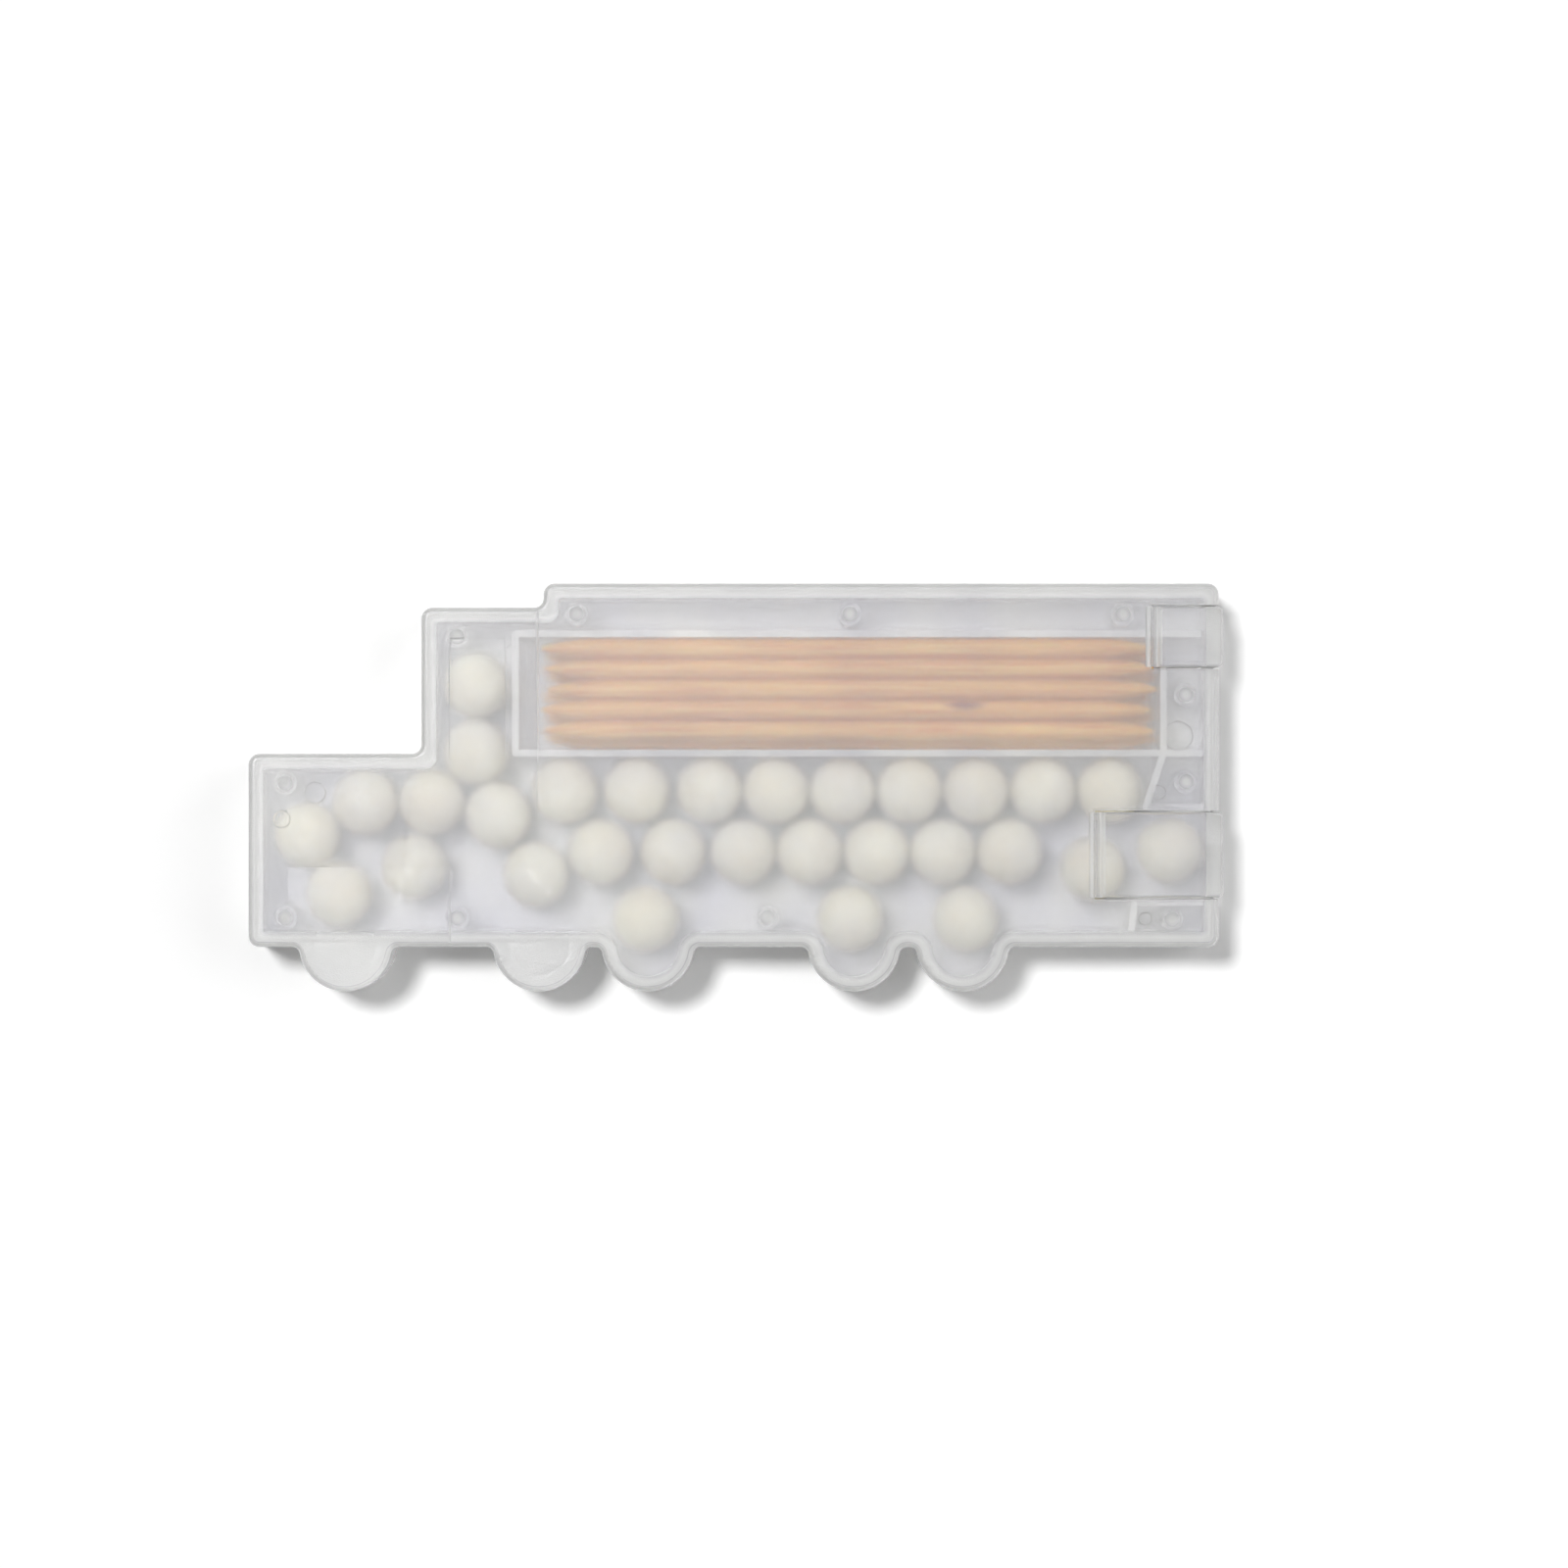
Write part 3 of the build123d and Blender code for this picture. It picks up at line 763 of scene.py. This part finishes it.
def mint_shape(node, number, look):
    """Mesh of one mint inside its CAD solid, with lumps and pits of its own."""
    low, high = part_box(node)
    middle, radius = (low + high) / 2, (high.z - low.z) / 2
    own_noise = Vector((7.3 * number, 3.1 * number, 1.7 * number))
    shape = bmesh.new()
    bmesh.ops.create_icosphere(shape, subdivisions=5, radius=1.0)
    for vertex in shape.verts:
        lump = 0.5 + 0.5 * noise.noise(vertex.co * 1.4 + own_noise)
        pit = max(0.0, noise.noise(vertex.co * radius / look.pit_size + own_noise) - 0.2)
        sink = look.lump_depth * lump + look.pit_depth * pit
        vertex.co = middle + vertex.co * (radius - sink)
    return shape


def toothpick_shape(node, number, look):
    """Mesh of one toothpick inside its CAD solid's box, with rounded points and a waver of its own."""
    taper, tip_radius, roundness = 8.0 * MM, 0.25 * MM, 3
    waver_length = 4 * MM
    taper_steps, shank_steps, sides = 12, 30, 20
    low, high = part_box(node)
    middle, radius = (low + high) / 2, (high.z - low.z) / 2
    length = high.x - low.x
    shank = length - 2 * taper
    stations = [taper * step / taper_steps for step in range(taper_steps)]
    stations += [taper + shank * step / shank_steps for step in range(shank_steps)]
    stations += [length - station for station in stations[taper_steps - 1 :: -1]]
    own_noise = Vector((0.0, 5.7 * number, 2.9 * number))
    shape = bmesh.new()
    rings = []
    for station in stations:
        share = min(1.0, station / taper, (length - station) / taper)
        full = radius - (radius - tip_radius) * (1 - share) ** roundness
        bend = look.bow * math.sin(math.pi * station / length + number)
        heart = Vector((low.x + station, middle.y + bend, middle.z))
        ring = []
        for side in range(sides):
            turn = 2 * math.pi * side / sides
            outward = Vector((0.0, math.cos(turn), math.sin(turn)))
            spot = Vector((station / waver_length, 0.0, 0.0)) + outward + own_noise
            here = full - look.waver * (0.5 + 0.5 * noise.noise(spot)) * share
            ring.append(shape.verts.new(heart + outward * here))
        rings.append(ring)
    for near, far in zip(rings, rings[1:]):
        for side in range(sides):
            following = (side + 1) % sides
            shape.faces.new((near[side], near[following], far[following], far[side]))
    shape.faces.new(rings[0])
    shape.faces.new(rings[-1])
    bmesh.ops.recalc_face_normals(shape, faces=shape.faces)
    return shape


class DISPENSER_OT_rear_shell(bpy.types.Operator):
    """Give the deep tray its frosted finish"""

    bl_idname = "dispenser.rear_shell"
    bl_label = "Rear shell"

    def execute(self, context):
        shell = welded_copy("rear_shell", "rear_shell_moulding")
        even_shading(shell)
        place_moulding(shell, "rear_shell", "case", context.scene.dispenser.case)
        return {"FINISHED"}


class DISPENSER_OT_front_cover(bpy.types.Operator):
    """Mould the front cover with its face lines, wheel rims and pin marks"""

    bl_idname = "dispenser.front_cover"
    bl_label = "Front cover"

    def execute(self, context):
        look = context.scene.dispenser.case
        cover = welded_copy("front_cover", "front_cover_moulding")
        cutters = face_cutters(look)
        cut = cover.modifiers.new("face_lines", "BOOLEAN")
        cut.operation = "DIFFERENCE"
        cut.solver = "EXACT"
        cut.use_self = True
        cut.object = cutters
        apply_modifiers(cover)
        bpy.data.objects.remove(cutters)
        even_shading(cover)
        mark_deep(cover, SOLID_COVER)
        place_moulding(cover, "front_cover", "case", look)
        return {"FINISHED"}


class DISPENSER_OT_flip_lids(bpy.types.Operator):
    """Give both flip lids their frosted finish"""

    bl_idname = "dispenser.flip_lids"
    bl_label = "Flip lids"

    def execute(self, context):
        for name, (low, _) in zip(LIDS, LID_BOXES):
            lid = welded_copy(name, name + "_moulding")
            split_across(lid, (low.x + SHOULDER, PLUG_X))
            even_shading(lid)
            mark_deep(lid, SOLID_LID)
            place_moulding(lid, name, name, context.scene.dispenser.case)
        return {"FINISHED"}


class DISPENSER_OT_hinge_webs(bpy.types.Operator):
    """Make the living hinges: thin webs between the cover and the lids, hollowed below"""

    bl_idname = "dispenser.hinge_webs"
    bl_label = "Hinge webs"

    def execute(self, context):
        look = context.scene.dispenser.case
        for lid in LIDS:
            node = lid + "_hinge"
            low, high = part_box(node)
            web = add_object(node + "_web", web_shape(low, high, look.web_waist))
            web.data.set_sharp_from_angle(angle=math.radians(40))
            mould(web, look)
            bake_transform(web)
            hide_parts(node)
        return {"FINISHED"}


class DISPENSER_OT_mints(bpy.types.Operator):
    """Make the loose mints, each a little out of round and pitted"""

    bl_idname = "dispenser.mints"
    bl_label = "Mints"

    def execute(self, context):
        look = context.scene.dispenser.mints
        sugar = pressed_sugar(look)
        for number, node in enumerate(MINTS):
            mint = add_object(node + "_sugar", mint_shape(node, number, look))
            dress(mint, sugar)
            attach(mint, "case")
            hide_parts(node)
        return {"FINISHED"}


class DISPENSER_OT_toothpicks(bpy.types.Operator):
    """Turn the toothpicks, with two pointed ends and a slightly wavering surface"""

    bl_idname = "dispenser.toothpicks"
    bl_label = "Toothpicks"

    def execute(self, context):
        look = context.scene.dispenser.toothpicks
        wood = turned_birch(look)
        knotted = turned_birch(look, KNOT_PLACE)
        for number, node in enumerate(TOOTHPICKS):
            pick = add_object(node + "_wood", toothpick_shape(node, number, look))
            pick.data.set_sharp_from_angle(angle=math.radians(40))
            dress(pick, knotted if node == KNOTTED else wood)
            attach(pick, "case")
            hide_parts(node)
        return {"FINISHED"}


class DISPENSER_OT_stage(bpy.types.Operator):
    """Set the floor, the light and the camera"""

    bl_idname = "dispenser.stage"
    bl_label = "Stage"

    def execute(self, context):
        scene = context.scene
        look = scene.dispenser.stage
        floor_drop, floor_reach = 0.1 * MM, 4.0
        shape = bmesh.new()
        place = Matrix.Translation((0.0, 0.0, cad_box[0].z - floor_drop))
        bmesh.ops.create_grid(shape, x_segments=4, y_segments=4, size=floor_reach, matrix=place)
        floor = add_object("floor", shape)
        dress(floor, white_paper(look))

        world = bpy.data.worlds.new("white_surround")
        world.use_nodes = True
        surround = world.node_tree.nodes["Background"]
        surround.inputs["Color"].default_value = linear("#ffffff")
        surround.inputs["Strength"].default_value = look.fill
        scene.world = world

        lamps = (
            ("soft_key", look.key, look.key_size, Vector((0.28, -0.24, -1.0))),
            ("soft_side", look.side, look.side_size, Vector((-1.0, -0.2, -0.85))),
        )
        for name, strength, size, heading in lamps:
            light = bpy.data.lights.new(name, "SUN")
            light.energy = strength
            light.angle = size
            lamp = bpy.data.objects.new(name, light)
            lamp.rotation_euler = heading.to_track_quat("-Z", "Y").to_euler()
            scene.collection.objects.link(lamp)

        lens = bpy.data.cameras.new("camera")
        lens.lens = look.lens
        camera = bpy.data.objects.new("camera", lens)
        height = FRONT_Z + look.picture_width * look.lens / lens.sensor_width
        camera.location = (*look.picture_centre, height)
        scene.collection.objects.link(camera)
        scene.camera = camera
        scene.view_settings.view_transform = "Standard"
        return {"FINISHED"}


class DISPENSER_PT_sidebar(bpy.types.Panel):
    """The dispenser's pieces and settings"""

    bl_label = "Dispenser"
    bl_idname = "DISPENSER_PT_sidebar"
    bl_space_type = "VIEW_3D"
    bl_region_type = "UI"
    bl_category = "Dispenser"

    def draw(self, context):
        settings = context.scene.dispenser
        for operator in OPERATORS:
            self.layout.operator(operator.bl_idname)
        for group in (settings.case, settings.mints, settings.toothpicks, settings.stage):
            box = self.layout.box()
            for name in group.__annotations__:
                box.prop(group, name)


OPERATORS = (
    DISPENSER_OT_stage,
    DISPENSER_OT_rear_shell,
    DISPENSER_OT_front_cover,
    DISPENSER_OT_flip_lids,
    DISPENSER_OT_hinge_webs,
    DISPENSER_OT_mints,
    DISPENSER_OT_toothpicks,
)
GROUPS = (CaseSettings, MintSettings, ToothpickSettings, StageSettings, DispenserSettings)
CLASSES = GROUPS + OPERATORS + (DISPENSER_PT_sidebar,)


def register():
    """Registers the classes and hangs the settings on the scene."""
    for cls in CLASSES:
        bpy.utils.register_class(cls)
    bpy.types.Scene.dispenser = PointerProperty(type=DispenserSettings)


def unregister():
    """Takes the settings off the scene and unregisters the classes."""
    del bpy.types.Scene.dispenser
    for cls in reversed(CLASSES):
        bpy.utils.unregister_class(cls)


def main():
    register()
    bpy.ops.dispenser.stage()
    bpy.ops.dispenser.rear_shell()
    bpy.ops.dispenser.front_cover()
    bpy.ops.dispenser.flip_lids()
    bpy.ops.dispenser.hinge_webs()
    bpy.ops.dispenser.mints()
    bpy.ops.dispenser.toothpicks()


if __name__ == "__main__":
    main()
